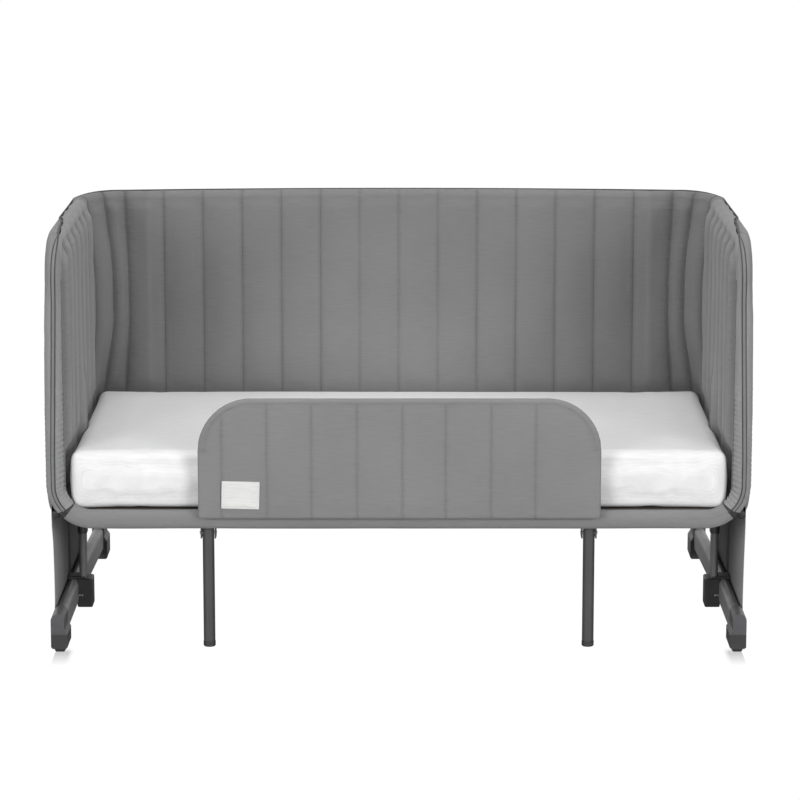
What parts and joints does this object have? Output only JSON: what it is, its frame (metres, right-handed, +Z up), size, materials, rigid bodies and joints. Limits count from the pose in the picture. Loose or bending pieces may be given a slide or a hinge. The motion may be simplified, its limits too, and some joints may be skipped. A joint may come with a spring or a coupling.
{
  "type": "toddler bed",
  "caption": "Toddler bed: padded quilted walls on three sides, open front with a short guard, white mattress, centre legs and height-adjustable end feet.",
  "frame": {"origin": "centre of the bed's box at floor level", "axes": "+X to the right along the bed's length seen from the open front, +Y from the open front to the back wall, +Z up"},
  "size_m": [1.29, 0.8, 0.7728],
  "materials": {
    "grey_fabric": "matte woven polyester",
    "white_cover": "matte knitted cover over foam",
    "label_cloth": "woven label, plain",
    "powder_coat": "satin powder coat on tube",
    "dark_plastic": "moulded, fine texture",
    "wheel_plastic": "moulded",
    "steel": "bright zinc",
    "board": "board in a fabric sleeve"
  },
  "bodies": {
    "bed_body": {"front_rail": "powder_coat", "left_side_frame": "powder_coat", "right_side_frame": "powder_coat", "back_top_rail": "powder_coat", "back_base_rail": "powder_coat", "base_board": "board", "left_base_rail": "powder_coat", "right_base_rail": "powder_coat", "left_rear_elbow": "dark_plastic", "right_rear_elbow": "dark_plastic", "left_corner_collar": "dark_plastic", "right_corner_collar": "dark_plastic", "left_cross_bar": "powder_coat", "right_cross_bar": "powder_coat", "left_wall_pad": "grey_fabric", "right_wall_pad": "grey_fabric", "back_wall_pad": "grey_fabric", "left_outer_cover": "grey_fabric", "right_outer_cover": "grey_fabric", "back_outer_cover": "grey_fabric", "left_front_trim": "grey_fabric", "right_front_trim": "grey_fabric", "front_rail_cover": "grey_fabric", "left_leg_sleeve": "powder_coat", "right_leg_sleeve": "powder_coat", "left_sleeve_collar": "dark_plastic", "right_sleeve_collar": "dark_plastic", "left_leg_clevis": "powder_coat", "right_leg_clevis": "powder_coat", "left_leg_pin": "steel", "right_leg_pin": "steel"},
    "mattress_body": {"mattress": "white_cover"},
    "guard_body": {"front_guard": "grey_fabric", "guard_label": "label_cloth"},
    "left_foot": {"left_base_tube": "powder_coat", "left_front_cap": "dark_plastic", "left_rear_cap": "dark_plastic", "left_bracket": "dark_plastic", "left_bracket_screw_1": "steel", "left_bracket_screw_2": "steel", "left_post": "powder_coat", "left_skirt": "grey_fabric", "left_axle": "steel"},
    "left_roller": {"left_wheel": "wheel_plastic"},
    "left_button": {"left_height_button": "dark_plastic"},
    "left_centre_support": {"left_centre_leg": "powder_coat", "left_leg_cap": "dark_plastic"},
    "right_foot": {"right_base_tube": "powder_coat", "right_front_cap": "dark_plastic", "right_rear_cap": "dark_plastic", "right_bracket": "dark_plastic", "right_bracket_screw_1": "steel", "right_bracket_screw_2": "steel", "right_post": "powder_coat", "right_skirt": "grey_fabric", "right_axle": "steel"},
    "right_roller": {"right_wheel": "wheel_plastic"},
    "right_button": {"right_height_button": "dark_plastic"},
    "right_centre_support": {"right_centre_leg": "powder_coat", "right_leg_cap": "dark_plastic"}
  },
  "joints": [
    {"name": "mattress_lift", "type": "slide", "parent": "bed_body", "child": "mattress_body", "axis": [0, 0, 1], "range_m": [0, 0.42]},
    {"name": "guard_lift", "type": "slide", "parent": "bed_body", "child": "guard_body", "axis": [0, 0, 1], "range_m": [0, 0.26]},
    {"name": "left_height", "type": "slide", "parent": "bed_body", "child": "left_foot", "axis": [0, 0, -1], "range_m": [0, 0.18]},
    {"name": "left_wheel_spin", "type": "hinge", "parent": "left_foot", "child": "left_roller", "pos_m": [-0.6225, -0.3755, 0.0185], "axis": [1, 0, 0], "continuous": true},
    {"name": "left_button_press", "type": "slide", "parent": "bed_body", "child": "left_button", "axis": [-1, 0, 0], "range_m": [0, 0.003], "stiffness_N_per_m": 600},
    {"name": "left_centre_leg_fold", "type": "hinge", "parent": "bed_body", "child": "left_centre_support", "pos_m": [-0.35, -0.335, 0.215], "axis": [1, 0, 0], "range_deg": [0, 90]},
    {"name": "right_height", "type": "slide", "parent": "bed_body", "child": "right_foot", "axis": [0, 0, -1], "range_m": [0, 0.18]},
    {"name": "right_wheel_spin", "type": "hinge", "parent": "right_foot", "child": "right_roller", "pos_m": [0.6225, -0.3755, 0.0185], "axis": [1, 0, 0], "continuous": true},
    {"name": "right_button_press", "type": "slide", "parent": "bed_body", "child": "right_button", "axis": [1, 0, 0], "range_m": [0, 0.003], "stiffness_N_per_m": 600},
    {"name": "right_centre_leg_fold", "type": "hinge", "parent": "bed_body", "child": "right_centre_support", "pos_m": [0.35, -0.335, 0.215], "axis": [1, 0, 0], "range_deg": [0, 90]}
  ]
}
